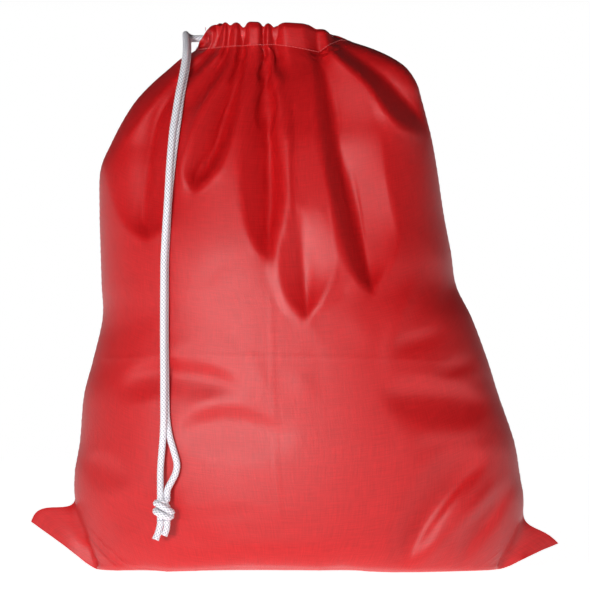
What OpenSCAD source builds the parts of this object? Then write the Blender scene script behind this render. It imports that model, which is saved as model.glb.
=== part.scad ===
// Drawstring stuff sack: two cloth panels sewn at the sides and the bottom, a gathered hem that
// holds a braided drawcord, and the cord's two free strands, tied together in an overhand knot.
// The sack stands filled out on its base. +Z is up, the front faces -Y, and the origin is the
// middle of the base on the floor.

/* [Sack] */
// Height from the floor to the top of the gathered hem
sack_h = 530; // [500:5:560]
// Widest width of the filled body
body_w = 440; // [400:5:480]
// Depth of the filled body, front to back
body_d = 268; // [240:2:300]
// Width from the tip of one corner ear to the tip of the other
ear_span = 512; // [500:2:560]
// Thickness of the cloth
cloth_t = 1.2; // [1:0.1:1.6]

/* [Mouth] */
// Width of the gathered mouth at the casing
mouth_w = 130; // [126:1:140]
// Depth of the gathered mouth at the casing
mouth_d = 78; // [74:1:84]
// Sideways place of the middle of the mouth
mouth_x = -26; // [-30:1:-20]
// Height of the drawcord casing
casing_h = 30; // [28:1:34]
// Number of gathers round the mouth
gathers = 26; // [16:2:32]
// Height of each gather
gather_h = 3; // [1:0.5:4]

/* [Drawcord] */
// Diameter of the braided drawcord
cord_d = 6; // [5:0.5:6]
// Width of the seam allowances inside the sack
seam_w = 10; // [6:1:12]
// Thickness of the sewing thread
thread_d = 0.9; // [0.6:0.1:1.2]

/* [Hidden] */

red = "firebrick";
dark_red = "darkred";
thread_red = "indianred";
white = "whitesmoke";

// The sack's profile at its nominal size, from the bottom seam up the wall to the casing:
// [height, reach to the left, reach to the right, depth of the front].
NOMINAL_H = 530;
NOMINAL_W = 440;
NOMINAL_D = 268;
PROFILE = [
    [0, 188, 194, 0],
    [0, 190, 196, 40],
    [0, 191, 197, 74],
    [6, 194, 201, 97],
    [24, 201, 210, 112],
    [60, 212, 221, 122],
    [110, 211, 216, 129],
    [170, 204, 197, 133],
    [245, 186, 172, 134],
    [310, 187, 153, 127],
    [370, 188, 142, 112],
    [420, 175, 134, 94],
    [458, 152, 124, 74],
    [484, 126, 110, 56],
    [496, 104, 78, 45],
    [499.5, 91, 39, 39],
];
STEPS_PER_ROW = 2;
COLUMNS = 28;
FULLNESS = 2.35; // exponent of the rounded cross-section
LAST = (len(PROFILE) - 1) * STEPS_PER_ROW;

// The ears' outlines, from the base outwards to the tip and back to the wall: [reach, height].
LEFT_EAR = [[188, 0], [208, 6], [230, 17], [255, 48], [256, 62], [240, 59], [226, 57], [213, 61]];
RIGHT_EAR = [[194, 0], [218, 8], [243, 19], [256, 26], [249, 32], [238, 38], [222, 44]];

casing_z = sack_h - casing_h;
tunnel_w = cord_d + 2;
run_inset = cloth_t + tunnel_w / 2;
run_z = casing_z + casing_h / 2;
end_angle = 30; // half the angle of each fixed end of the casing
exit_angle = 14; // half the angle of the flat, ungathered stretch that holds the exit
exit_x = mouth_x - mouth_w / 2 - gather_h - 1;
knot_at = [-124.2, -120, 52];

// The two strands, from the exit over the shoulder and down the front to the knot.
FRONT_STRAND = [
    [-95.1, -4, 515], [-97.2, -4, 515], [-99.4, -5, 514.5], [-101.3, -6.6, 513.7],
    [-102.6, -9.2, 512.4], [-103, -13, 510.5], [-102.8, -19, 507.5], [-102.6, -28, 502.5],
    [-102.8, -37, 495], [-104, -46.5, 484], [-106, -55.5, 472], [-108.3, -64.5, 458],
    [-110.5, -75, 440], [-113, -85, 420], [-116.5, -96, 390], [-119.5, -104.5, 358],
    [-121, -109.5, 330], [-122.4, -112.5, 300], [-122.6, -114.5, 260], [-122.6, -116.5, 222],
    [-122.2, -118.5, 190], [-121.8, -119, 165], [-121, -119, 147], [-118.5, -119, 132],
    [-114.5, -119.2, 118], [-111.6, -119.4, 106], [-113, -119.5, 97], [-117.2, -119.7, 88.5],
    [-120.4, -119.9, 82], [-121, -120, 77], [-121, -120, 74],
];
BACK_STRAND = [
    [-95.1, 4, 515], [-97.5, 4, 515], [-100.2, 3.1, 515.9], [-102.7, 1.2, 517],
    [-104.5, -2, 518.2], [-105.2, -6.5, 518.9], [-105.2, -12, 518.3], [-105, -20, 514.6],
    [-104.6, -31, 507.9], [-104.6, -41.5, 499.4], [-105.8, -51.3, 487.8],
    [-107.9, -60.4, 475.4], [-110.6, -69.5, 461], [-113.5, -79.8, 442.5], [-116.4, -90, 422],
    [-118.9, -101.5, 392], [-120.7, -110.5, 359], [-122.5, -115.6, 330], [-124, -118.5, 300],
    [-124.4, -120.5, 260], [-124.4, -122.5, 222], [-124.2, -124.4, 190], [-124.2, -124.7, 165],
    [-124.2, -124.2, 147], [-124.8, -121.8, 132], [-125.9, -119.2, 119], [-126.9, -118, 107],
    [-127.4, -118.2, 97], [-127.4, -119, 88.5], [-127.4, -119.8, 82], [-127.4, -120, 77],
    [-127.4, -120, 74],
];
END_ROUTES = [
    [[-127.4, -120, 52], [-127.4, -120, 49], [-129, -120, 42], [-132, -120.5, 34]],
    [[-121, -120, 52], [-121, -120, 49], [-121.6, -120, 44], [-124, -120, 38]],
];
KNOT_OUTLINE = [[0, 0], [7.3, 0], [9.6, 4], [10.2, 11], [9.6, 18], [7.3, 22], [0, 22]];

// ---- the sack's shape -------------------------------------------------------------------

function spline(p0, p1, p2, p3, t) =
    0.5 * (2 * p1 + (p2 - p0) * t + (2 * p0 - 5 * p1 + 4 * p2 - p3) * t * t
    + (3 * p1 - p0 - 3 * p2 + p3) * t * t * t);

function clamped(i) = PROFILE[min(max(i, 0), len(PROFILE) - 1)];

// The profile at step j, scaled to the driving sizes: [height, left, right, depth].
function profile(j) =
    let (i = floor(j / STEPS_PER_ROW), t = j / STEPS_PER_ROW - i)
    let (p = spline(clamped(i - 1), clamped(i), clamped(i + 1), clamped(i + 2), t))
    [
        max(p[0], 0) * sack_h / NOMINAL_H, p[1] * body_w / NOMINAL_W,
        p[2] * body_w / NOMINAL_W, max(p[3], 0) * body_d / NOMINAL_D,
    ];

// The inward normal of the wall at step j: [towards the middle, up].
function inward(j) =
    j <= 2 * STEPS_PER_ROW - 1 ? [0, 1] :
    j == LAST ? [1, 0] :
    let (a = profile(j - 1), b = profile(j + 1), run = b[3] - a[3], rise = b[0] - a[0])
    [rise, run] / norm([rise, run]);

// The same wall, moved inwards by the cloth's thickness at its inner face.
function wall(j, inner) =
    let (p = profile(j), n = inward(j) * (inner ? cloth_t : 0))
    [p[0] + n[1], p[1] - n[0], p[2] - n[0], max(p[3] - n[0], 0)];

function panel_point(j, k, side, inner) =
    let (w = wall(j, inner), a = 180 - 180 * k / COLUMNS)
    let (across = sign(cos(a)) * pow(abs(cos(a)), 2 / FULLNESS))
    let (out = pow(abs(sin(a)), 2 / FULLNESS))
    let (middle = (w[2] - w[1]) / 2, half = (w[2] + w[1]) / 2)
    [middle + half * across, side * w[3] * out, w[0]];

function quad(a, b, c, d) = [[a, b, c], [a, c, d]];

// A quad of the wall at column k. Its diagonal mirrors on the right half, so that the triangles
// at both ends of the bottom seam keep an area.
function wall_quad(k, a, b, c, d) = k < COLUMNS / 2 ? quad(a, b, c, d) : quad(b, c, d, a);

module panel(side) {
    n = COLUMNS + 1;
    inner0 = n * (LAST + 1);
    points = [
        for (inner = [false, true]) for (j = [0:LAST]) for (k = [0:COLUMNS])
            panel_point(j, k, side, inner)
    ];
    faces = [
        for (j = [0:LAST - 1]) for (k = [0:COLUMNS - 1]) let (o = j * n + k) each concat(
            wall_quad(k, o, o + n, o + n + 1, o + 1),
            wall_quad(
                COLUMNS - 1 - k,
                inner0 + o + 1, inner0 + o + n + 1, inner0 + o + n, inner0 + o
            )
        ),
        for (k = [0:COLUMNS - 1]) let (o = LAST * n + k) each concat(
            quad(k, k + 1, inner0 + k + 1, inner0 + k),
            quad(o, inner0 + o, inner0 + o + 1, o + 1)
        ),
        for (j = [0:LAST - 1]) let (o = j * n, e = j * n + COLUMNS) each concat(
            quad(o, inner0 + o, inner0 + o + n, o + n),
            quad(e, e + n, inner0 + e + n, inner0 + e)
        ),
    ];
    polyhedron(points, side < 0 ? faces : [for (f = faces) [f[2], f[1], f[0]]]);
}

module front_panel() { color(red) panel(-1); }

module back_panel() { color(red) panel(1); }

// ---- corner ears and seam allowances ------------------------------------------------------

// A flat outline drawn in the plane of the seams and given a thickness across it.
module upright(points, thickness) {
    rotate([90, 0, 0]) linear_extrude(thickness, center = true) polygon(points);
}

// The wall's edge in the plane of the seams, from step first to step last.
function edge(first, last, left, inset) = [
    for (j = [first:last]) let (p = profile(j)) [left ? inset - p[1] : p[2] - inset, p[0]]
];

// The last step of the wall that lies under the ears' upper edges.
EAR_TOP = 5 * STEPS_PER_ROW;

module corner_ear(outline, left) {
    tips = [
        for (p = outline) [(left ? -1 : 1) * p[0] * (p[0] > 225 ? ear_span / 512 : 1), p[1]]
    ];
    difference() {
        upright(tips, 2 * cloth_t);
        upright(concat(edge(0, EAR_TOP + 1, left, -0.05), [[0, 80], [0, -1]]), 3 * cloth_t);
    }
}

module left_corner_ear() { color(dark_red) corner_ear(LEFT_EAR, true); }

module right_corner_ear() { color(dark_red) corner_ear(RIGHT_EAR, false); }

SEAM_T = 1.6; // the two plies of a seam allowance, pressed together
BOTTOM_SEAM_L = 350; // the stretch of the bottom seam between the rounded corners

module bottom_seam() {
    color(dark_red) translate([0, 0, cloth_t + seam_w / 2])
        cube([BOTTOM_SEAM_L, SEAM_T, seam_w], center = true);
}

SEAM_FIRST = 4 * STEPS_PER_ROW;
SEAM_LAST = LAST - 3 * STEPS_PER_ROW;

module side_seam(left) {
    outer = edge(SEAM_FIRST, SEAM_LAST, left, 1.5 * cloth_t);
    inner = edge(SEAM_FIRST, SEAM_LAST, left, 1.5 * cloth_t + seam_w);
    upright(concat(outer, [for (i = [len(inner) - 1:-1:0]) inner[i]]), SEAM_T);
}

module left_side_seam() { color(dark_red) side_seam(true); }

module right_side_seam() { color(dark_red) side_seam(false); }

// ---- the gathered casing ------------------------------------------------------------------

function mouth_point(a, inset, wave) =
    [
        mouth_x + (mouth_w / 2 - inset + wave) * cos(a),
        (mouth_d / 2 - inset + wave) * sin(a),
    ];

// How far the gathered cloth stands out at an angle round the mouth.
function gather_wave(a) =
    let (away = abs(180 - (a + 360) % 360) - exit_angle)
    away < 0 ? 0 : gather_h * (1 - cos(gathers * away)) / 2;

// A band round the mouth from angle a0 to a1, between two insets from the outside.
module band(a0, a1, outer, inner, height, wavy = false) {
    steps = ceil((a1 - a0) / 2.5);
    angles = [for (i = [0:steps]) a0 + (a1 - a0) * i / steps];
    linear_extrude(height) polygon(concat(
        [for (a = angles) mouth_point(a, outer, wavy ? gather_wave(a) : 0)],
        [for (i = [steps:-1:0]) mouth_point(angles[i], inner, 0)]
    ));
}

TUNNEL_FLOOR = 3;

// A stretch of the hem: its outer ply is gathered, and a tunnel for the drawcord runs inside it.
module casing(a0, a1) {
    translate([0, 0, casing_z]) difference() {
        band(a0, a1, 0, 2 * cloth_t + tunnel_w, casing_h, wavy = true);
        translate([0, 0, TUNNEL_FLOOR])
            band(a0 - 1, a1 + 1, cloth_t, cloth_t + tunnel_w, casing_h - TUNNEL_FLOOR - cloth_t);
    }
}

module casing_front() { color(red) casing(180 + end_angle, 360 - end_angle); }

module casing_back() { color(red) casing(end_angle, 180 - end_angle); }

EXIT_W = 17;
EXIT_H = 14;
EXIT_CUT = 12;
wall_x = mouth_x - mouth_w / 2; // the casing's outer face at the exit

module casing_left_end() {
    color(red) difference() {
        casing(180 - end_angle, 180 + end_angle);
        translate([wall_x, 0, run_z]) cube([EXIT_CUT, EXIT_W, EXIT_H], center = true);
    }
}

module casing_right_end() { color(red) casing(-end_angle, end_angle); }

// The row of stitches that closes the casing's lower edge, lying on the gathered outer ply.
module casing_thread(a0, a1) {
    steps = ceil((a1 - a0) / 2.5);
    angles = [for (i = [0:steps]) a0 + (a1 - a0) * i / steps];
    translate([0, 0, casing_z + TUNNEL_FLOOR / 2]) linear_extrude(thread_d) polygon(concat(
        [for (a = angles) mouth_point(a, -thread_d, gather_wave(a))],
        [for (i = [steps:-1:0]) mouth_point(angles[i], -0.05, gather_wave(angles[i]))]
    ));
}

module casing_thread_front() {
    color(thread_red) casing_thread(180 + end_angle, 360 - end_angle);
}

module casing_thread_back() { color(thread_red) casing_thread(end_angle, 180 - end_angle); }

BARTACK_W = 6;
BARTACK_H = 2.5;

// Two short dense bars of thread, above and below the cord exit, that stop the seam tearing.
module exit_bartacks() {
    for (up = [-1, 1]) color(thread_red)
        translate([wall_x - thread_d / 2, 0, run_z + up * (EXIT_H / 2 + BARTACK_H)])
            cube([thread_d, BARTACK_W, BARTACK_H], center = true);
}

// ---- the drawcord -------------------------------------------------------------------------

function unit(v) = v / norm(v);

// The direction of a route at point i.
function heading(route, i) =
    unit(route[min(i + 1, len(route) - 1)] - route[max(i - 1, 0)]);

// A direction across the heading that turns as little as possible from ring to ring.
function across(route, i) =
    i == 0 ? let (h = heading(route, 0)) unit(cross(h, abs(h[2]) > 0.9 ? [0, 1, 0] : [0, 0, 1]))
    : let (h = heading(route, i), last = across(route, i - 1)) unit(last - h * (last * h));

SIDES = 10;

// A round tube of the cord's diameter along a route.
module tube(route) {
    frames = [for (i = [0:len(route) - 1]) [heading(route, i), across(route, i)]];
    points = [
        for (i = [0:len(route) - 1]) for (s = [0:SIDES - 1])
            let (a = 360 * s / SIDES, u = frames[i][1], v = cross(frames[i][0], u))
            route[i] + cord_d / 2 * (cos(a) * u + sin(a) * v)
    ];
    last = (len(route) - 1) * SIDES;
    polyhedron(points, concat(
        [[for (s = [0:SIDES - 1]) s]],
        [[for (s = [SIDES - 1:-1:0]) last + s]],
        [
            for (i = [0:len(route) - 2]) for (s = [0:SIDES - 1])
                let (o = i * SIDES, t = (s + 1) % SIDES)
                each quad(o + s, o + SIDES + s, o + SIDES + t, o + t)
        ]
    ));
}

RING_ANGLE = 10;
STUB = 1; // the straight length at each end of a run, so that neighbours meet face to face

function run_point(a) = let (p = mouth_point(a, run_inset, 0)) [p[0], p[1], run_z];

function run_heading(a) =
    unit([-(mouth_w / 2 - run_inset) * sin(a), (mouth_d / 2 - run_inset) * cos(a), 0]);

// The cord's route in the tunnel from angle a0 to a1.
function run_route(a0, a1) =
    let (steps = ceil((a1 - a0) / RING_ANGLE))
    [
        run_point(a0), run_point(a0) + STUB * run_heading(a0),
        for (i = [1:steps - 1]) run_point(a0 + (a1 - a0) * i / steps),
        run_point(a1) - STUB * run_heading(a1), run_point(a1),
    ];

module drawcord_front_run() {
    color(white) tube(run_route(180 + end_angle, 360 - end_angle));
}

module drawcord_back_run() { color(white) tube(run_route(end_angle, 180 - end_angle)); }

module drawcord_far_bend() { color(white) tube(run_route(-end_angle, end_angle)); }

// Inside the left end of the casing, each run turns outwards and leaves through the exit.
module drawcord_exit_bends() {
    start = run_point(180 - end_angle);
    route = [
        start, start + STUB * run_heading(180 - end_angle), run_point(180 - end_angle + 7),
        [-83.6, 10.2, run_z], [-85.4, 7.2, run_z], [-87.8, 5, run_z], [-90.5, 4, run_z],
        [-93, 4, run_z], [exit_x, 4, run_z],
    ];
    color(white) {
        tube(route);
        mirror([0, 1, 0]) tube(route);
    }
}

module drawcord_front_strand() { color(white) tube(FRONT_STRAND); }

module drawcord_back_strand() { color(white) tube(BACK_STRAND); }

// The knot's outer shape: the doubled cord turned round itself and drawn tight.
module drawcord_knot() {
    color(white) translate(knot_at) rotate_extrude($fn = 48) polygon(KNOT_OUTLINE);
}

module drawcord_ends() {
    for (route = END_ROUTES) color(white) tube(route);
}

front_panel();
back_panel();
left_corner_ear();
right_corner_ear();
bottom_seam();
left_side_seam();
right_side_seam();
casing_front();
casing_back();
casing_left_end();
casing_right_end();
casing_thread_front();
casing_thread_back();
exit_bartacks();
drawcord_front_run();
drawcord_back_run();
drawcord_exit_bends();
drawcord_far_bend();
drawcord_front_strand();
drawcord_back_strand();
drawcord_knot();
drawcord_ends();
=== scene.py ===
"""A filled drawstring sack: cloth panels, gathered hem, braided drawcord, studio and camera.

Each cloth panel is a grid over its flat cut. The grid is wrapped round the filled outline, its
folds and gathers are laid in, and a cloth solver then lets it come to rest.
Every length is in metres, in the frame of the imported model: +Z up, the front faces -Y.
"""

import math

import bpy
import numpy as np
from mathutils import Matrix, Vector


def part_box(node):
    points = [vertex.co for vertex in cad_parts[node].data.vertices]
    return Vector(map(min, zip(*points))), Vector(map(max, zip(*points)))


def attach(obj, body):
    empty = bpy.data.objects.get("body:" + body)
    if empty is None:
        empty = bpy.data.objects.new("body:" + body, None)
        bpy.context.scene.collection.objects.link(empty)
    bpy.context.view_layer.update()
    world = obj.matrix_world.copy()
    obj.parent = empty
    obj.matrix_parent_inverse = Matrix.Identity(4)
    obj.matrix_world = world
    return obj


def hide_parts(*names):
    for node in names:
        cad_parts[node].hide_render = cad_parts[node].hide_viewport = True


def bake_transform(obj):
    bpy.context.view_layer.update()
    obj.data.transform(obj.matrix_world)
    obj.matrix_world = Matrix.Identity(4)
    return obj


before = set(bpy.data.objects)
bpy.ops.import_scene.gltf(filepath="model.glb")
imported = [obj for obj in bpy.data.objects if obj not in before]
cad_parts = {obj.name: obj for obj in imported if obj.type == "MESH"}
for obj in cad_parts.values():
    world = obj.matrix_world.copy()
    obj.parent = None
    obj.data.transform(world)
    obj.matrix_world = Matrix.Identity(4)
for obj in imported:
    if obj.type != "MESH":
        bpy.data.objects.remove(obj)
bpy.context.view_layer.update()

MM = 0.001

# ---- sizes ----

PANEL_W = 0.559  # cut width of each panel between its side seams
PANEL_H = 0.711  # from the bottom seam to the folded top edge
HEM_H = 0.031  # height of the hem casing
BODY_H = PANEL_H - HEM_H
CLOTH_T = 0.0006
CORD_D = 0.006
COLUMNS, ROWS = 224, 272  # cells of each panel's grid below the stitch line
HEM_ROWS = 44

RUN_Z = sum(corner.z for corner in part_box("casing_front")) / 2  # height of the cord in the hem
MOUTH_X = (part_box("casing_left_end")[0].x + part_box("casing_right_end")[1].x) / 2
RING_A = 0.0598  # half-width of the cord's ring in the casing
RING_B = 0.0338  # half-depth of the cord's ring in the casing

# ---- small helpers ----


def smooth(t):
    """Smoothstep of t held between 0 and 1."""
    t = np.clip(t, 0.0, 1.0)
    return t * t * (3.0 - 2.0 * t)


def arc_lengths(line):
    """How far along a line each of its points lies."""
    return np.concatenate([[0], np.cumsum(np.linalg.norm(np.diff(line, axis=0), axis=1))])


def values_at(at, along, values):
    """What a line's points hold, at lengths along the line."""
    return np.stack([np.interp(at, along, column) for column in values.T], axis=1)


def spline(points, count):
    """count points spaced evenly by length along a Catmull-Rom curve through the points."""
    p = np.array(points, float)
    ends = np.vstack([2 * p[0] - p[1], p, 2 * p[-1] - p[-2]])
    t = np.linspace(0, 1, 24, endpoint=False)[:, None]
    dense = []
    for a, b, c, d in zip(ends, ends[1:], ends[2:], ends[3:]):
        turn = (2 * a - 5 * b + 4 * c - d) * t**2 + (3 * b - a - 3 * c + d) * t**3
        dense.append(0.5 * (2 * b + (c - a) * t + turn))
    dense = np.vstack(dense + [p[-1:]])
    along = arc_lengths(dense)
    return values_at(np.linspace(0, along[-1], count), along, dense)


def between(grid, row, column):
    """What a grid holds between its points, at row and column numbers with fractions."""
    j = np.minimum(row.astype(int), grid.shape[0] - 2)
    i = np.minimum(column.astype(int), grid.shape[1] - 2)
    a, b = column - i, row - j
    if grid.ndim == 3:
        a, b = a[..., None], b[..., None]
    low = grid[j, i] * (1 - a) + grid[j, i + 1] * a
    high = grid[j + 1, i] * (1 - a) + grid[j + 1, i + 1] * a
    return low * (1 - b) + high * b


def linked(name, data):
    obj = bpy.data.objects.new(name, data)
    bpy.context.scene.collection.objects.link(obj)
    return obj


def new_object(name, verts, faces, material):
    mesh = bpy.data.meshes.new(name)
    mesh.from_pydata([tuple(v) for v in verts], [], faces)
    mesh.polygons.foreach_set("use_smooth", [True] * len(mesh.polygons))
    mesh.materials.append(material)
    mesh.update()
    return linked(name, mesh)


def store_values(obj, name, kind, field, values):
    """Stores values at an object's points, for its material."""
    store = obj.data.attributes.new(name, kind, "POINT")
    store.data.foreach_set(field, np.asarray(values, np.float32).ravel())


# ---- materials ----


class Nodes:
    """Short calls that add shader nodes to one material."""

    def __init__(self, name):
        self.material = bpy.data.materials.new(name)
        self.material.use_nodes = True
        self.tree = self.material.node_tree
        self.shader = self.tree.nodes["Principled BSDF"]

    def add(self, kind, values=None, **settings):
        node = self.tree.nodes.new("ShaderNode" + kind)
        for key, value in settings.items():
            setattr(node, key, value)
        for key, value in (values or {}).items():
            self.put(node, key, value)
        return node

    def put(self, node, key, value):
        if isinstance(value, bpy.types.NodeSocket):
            self.tree.links.new(value, node.inputs[key])
        else:
            node.inputs[key].default_value = value

    def set(self, **values):
        for key, value in values.items():
            self.put(self.shader, key.replace("_", " "), value)

    def math(self, operation, a, b, c=0.5):
        return self.add("Math", {0: a, 1: b, 2: c}, operation=operation).outputs[0]

    def noise(self, vector, scale, detail=2.0):
        return self.add("TexNoise", {"Vector": vector, "Scale": scale, "Detail": detail}).outputs[0]

    def mix(self, factor, a, b):
        return self.add("Mix", {0: factor, 6: a, 7: b}, data_type="RGBA").outputs[2]

    def bump(self, height, strength):
        values = {"Height": height, "Strength": strength, "Distance": BUMP_HEIGHT}
        return self.add("Bump", values).outputs[0]


BUMP_HEIGHT = 0.0001
THREAD_PITCH = 0.00062  # spacing of the cloth's threads


def sack_cloth():
    """Red nylon: a fine plain weave laid out on the flat pattern, with a soft satin sheen."""
    n = Nodes("sack_cloth")
    flat = n.add("Attribute", attribute_name="pattern").outputs["Vector"]
    place = n.add("TexCoord").outputs["Object"]
    across, up, _ = n.add("SeparateXYZ", {0: flat}).outputs
    turns = 2 * math.pi / THREAD_PITCH
    warp, weft = [n.math("SINE", n.math("MULTIPLY", way, turns), 0.0) for way in (across, up)]
    weave = n.math("MULTIPLY", warp, weft)
    streaks = []
    for stretch in ((50, 800, 1), (800, 50, 1)):
        drawn = n.add("VectorMath", {0: flat, 1: stretch}, operation="MULTIPLY").outputs[0]
        streaks.append(n.noise(drawn, 1.0))
    yarns = n.math("ADD", *streaks)

    patch = n.noise(place, 9.0, 3.0)
    deep, bright = (0.47, 0.002, 0.003, 1), (0.55, 0.003, 0.0045, 1)
    crossing, shaded = (0.52, 0.006, 0.009, 1), (0.38, 0.0015, 0.0025, 1)
    base = n.mix(patch, deep, bright)
    base = n.mix(n.math("MULTIPLY_ADD", weave, 0.07, 0.5), base, crossing)
    uneven = n.add("MapRange", {"Value": yarns, "From Min": 0.7, "From Max": 1.3}).outputs[0]
    rough = n.add("MapRange", {"Value": patch, "To Min": 0.40, "To Max": 0.48}).outputs[0]

    slub = n.math("MULTIPLY", n.noise(flat, 900.0, 1.0), 0.6)
    height = n.math("ADD", n.math("MULTIPLY", weave, 0.5), slub)
    height = n.math("ADD", height, n.math("MULTIPLY", yarns, 1.8))
    n.set(Base_Color=n.mix(uneven, shaded, base), Roughness=rough, Specular_IOR_Level=0.46)
    n.set(Normal=n.bump(height, 0.4))
    return n.material


def sewing_thread():
    n = Nodes("sewing_thread")
    ply = n.noise(n.add("TexCoord").outputs["Object"], 1400.0)
    n.set(Base_Color=n.mix(ply, (0.58, 0.03, 0.035, 1), (0.8, 0.09, 0.09, 1)), Roughness=0.5)
    n.set(Normal=n.bump(ply, 0.4), Sheen_Weight=0.3)
    return n.material


def white_cord():
    """Braided white cord: the braid itself is in the mesh, and this adds its fine filaments and
    paints shade, a dark grey-blue, into the gaps between the braid's strands.
    """
    n = Nodes("white_cord")
    place = n.add("TexCoord").outputs["Object"]
    fibre, dirt = n.noise(place, 2600.0), n.noise(place, 60.0)
    # painted shade: where the braid stands low, in the gaps between its strands, the cord is
    # coloured a dark grey-blue
    braid_gap_shade_mask = n.add("Attribute", attribute_name="braid").outputs["Fac"]
    ramp = {"Value": braid_gap_shade_mask, "From Min": 0.1, "From Max": 0.75}
    braid_gap_shade_mask = n.add("MapRange", ramp, interpolation_type="SMOOTHSTEP").outputs[0]
    yarn = n.mix(dirt, (0.82, 0.81, 0.85, 1), (0.87, 0.86, 0.89, 1))
    # the first colour is the painted shade of the braid's gaps, the second the cord's own yarn
    # colour
    n.set(Base_Color=n.mix(braid_gap_shade_mask, (0.34, 0.33, 0.39, 1), yarn), Roughness=0.45)
    n.set(Normal=n.bump(fibre, 0.35), Sheen_Weight=0.15)
    return n.material


# ---- camera, lights, floor ----

CAM_DIST = 6.0
VIEW_W = 0.572  # width of the view at the sack
VIEW_X, VIEW_Z = 0.0006, 0.2665
KEY_AT, KEY_TARGET = (-0.9, -2.75, 0.12), (0, 0, 0.2)
KEY_SIZE, KEY_POWER = 0.6, 86
FLOOR_HALF = 4.0


def make_camera():
    data = bpy.data.cameras.new("camera")
    data.sensor_width = 36
    data.lens = data.sensor_width * CAM_DIST / VIEW_W
    data.clip_end = 40
    camera = linked("camera", data)
    camera.location = (VIEW_X, -CAM_DIST, VIEW_Z)
    camera.rotation_euler = (math.radians(90), 0, 0)
    bpy.context.scene.camera = camera


def make_key_light():
    data = bpy.data.lights.new("key", "AREA")
    data.shape = "DISK"
    data.size = KEY_SIZE
    data.energy = KEY_POWER
    light = linked("key", data)
    light.location = KEY_AT
    aim = Vector(KEY_TARGET) - Vector(KEY_AT)
    light.rotation_euler = aim.to_track_quat("-Z", "Y").to_euler()


def make_studio():
    """A soft front light, a pale floor and an even surround that is white along the horizon."""
    world = bpy.data.worlds.new("studio")
    world.use_nodes = True
    tree = world.node_tree
    sky = tree.nodes["Background"]
    place = tree.nodes.new("ShaderNodeTexCoord")
    split = tree.nodes.new("ShaderNodeSeparateXYZ")
    ramp = tree.nodes.new("ShaderNodeMapRange")
    ramp.interpolation_type = "SMOOTHSTEP"
    for name, value in (("From Min", 0.045), ("From Max", 0.09), ("To Min", 1.0), ("To Max", 0.05)):
        ramp.inputs[name].default_value = value
    tree.links.new(place.outputs["Generated"], split.inputs[0])
    tree.links.new(split.outputs["Z"], ramp.inputs["Value"])
    tree.links.new(ramp.outputs["Result"], sky.inputs["Strength"])
    sky.inputs["Color"].default_value = (1, 1, 1, 1)
    bpy.context.scene.world = world
    make_key_light()

    floor = Nodes("floor")
    floor.set(Base_Color=(0.9, 0.9, 0.9, 1), Roughness=0.8)
    floor.set(Emission_Color=(1, 1, 1, 1), Emission_Strength=0.95)
    corners = [(FLOOR_HALF * x, FLOOR_HALF * y, 0) for x, y in ((-1, -1), (1, -1), (1, 1), (-1, 1))]
    stage = new_object("studio_floor", corners, [(0, 1, 2, 3)], floor.material)
    bpy.context.scene.view_settings.view_transform = "Standard"


# ---- the drawcord ----

# The two free strands, from the exit over the shoulder and down the front to the knot.
FRONT_STRAND = MM * np.array([
    [-95.1,-4,515], [-97.2,-4,515], [-99.4,-5,514.5], [-101.3,-6.6,513.7], [-102.6,-9.2,512.4],
    [-103,-13,510.5], [-102.8,-19,507.5], [-102.6,-28,502.5], [-102.8,-37,495], [-104,-46.5,484],
    [-106,-55.5,472], [-108.3,-64.5,458], [-110.5,-75,440], [-113,-85,420], [-116.5,-96,390],
    [-119.5,-104.5,358], [-121,-109.5,330], [-122.4,-112.5,300], [-122.6,-114.5,260],
    [-122.6,-116.5,222], [-122.2,-118.5,190], [-121.8,-119,165], [-121,-119,147],
    [-118.5,-119,132], [-114.5,-119.2,118], [-111.6,-119.4,106], [-113,-119.5,97],
    [-117.2,-119.7,88.5], [-120.4,-119.9,82], [-121,-120,77], [-121,-120,74],
])
BACK_STRAND = MM * np.array([
    [-95.1,4,515], [-97.5,4,515], [-100.2,3.1,515.9], [-102.7,1.2,517], [-104.5,-2,518.2],
    [-105.2,-6.5,518.9], [-105.2,-12,518.3], [-105,-20,514.6], [-104.6,-31,507.9],
    [-104.6,-41.5,499.4], [-105.8,-51.3,487.8], [-107.9,-60.4,475.4], [-110.6,-69.5,461],
    [-113.5,-79.8,442.5], [-116.4,-90,422], [-118.9,-101.5,392], [-120.7,-110.5,359],
    [-122.5,-115.6,330], [-124,-118.5,300], [-124.4,-120.5,260], [-124.4,-122.5,222],
    [-124.2,-124.4,190], [-124.2,-124.7,165], [-124.2,-124.2,147], [-124.8,-121.8,132],
    [-125.9,-119.2,119], [-126.9,-118,107], [-127.4,-118.2,97], [-127.4,-119,88.5],
    [-127.4,-119.8,82], [-127.4,-120,77], [-127.4,-120,74],
])
KNOT_AT = MM * np.array([-124.2, -120, 52])
# Each strand's way through the overhand knot, from its top to the tail's cut end, from KNOT_AT.
KNOT_WAYS = MM * np.array([
    [[3.2,0,22], [2.6,1.4,19.6], [-1,3.6,18], [-5,2.6,17.6], [-7,-0.8,16.8], [-4.8,-4.6,15.8],
     [-0.4,-6.2,13.2], [4.2,-5.4,10.4], [7.4,-1.4,8.4], [6.6,3,7.6], [2,4.8,6.8], [-1.8,3,5],
     [-3.1,1,2.5], [-3.2,0,0]],
    [[-3.2,0,22], [-2.8,-0.9,19.4], [0.4,-1.2,16.6], [3.4,1.4,13], [1,4.6,11.2], [-4.6,3.6,10.4],
     [-7.4,-0.8,9.2], [-5.2,-5.4,7.6], [-0.4,-6.8,5.4], [4.2,-5.2,3.6], [7,-1.2,4.4],
     [5.8,2.8,4.4], [3.8,1.6,2.6], [3.2,0,0]],
], float)
TAILS = MM * np.array([
    [[-127.4,-120,52], [-127.4,-120,49], [-129,-120,42], [-132,-120.5,34]],
    [[-121,-120,52], [-121,-120,49], [-121.6,-120,44], [-124,-120,38]],
], float)
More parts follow.
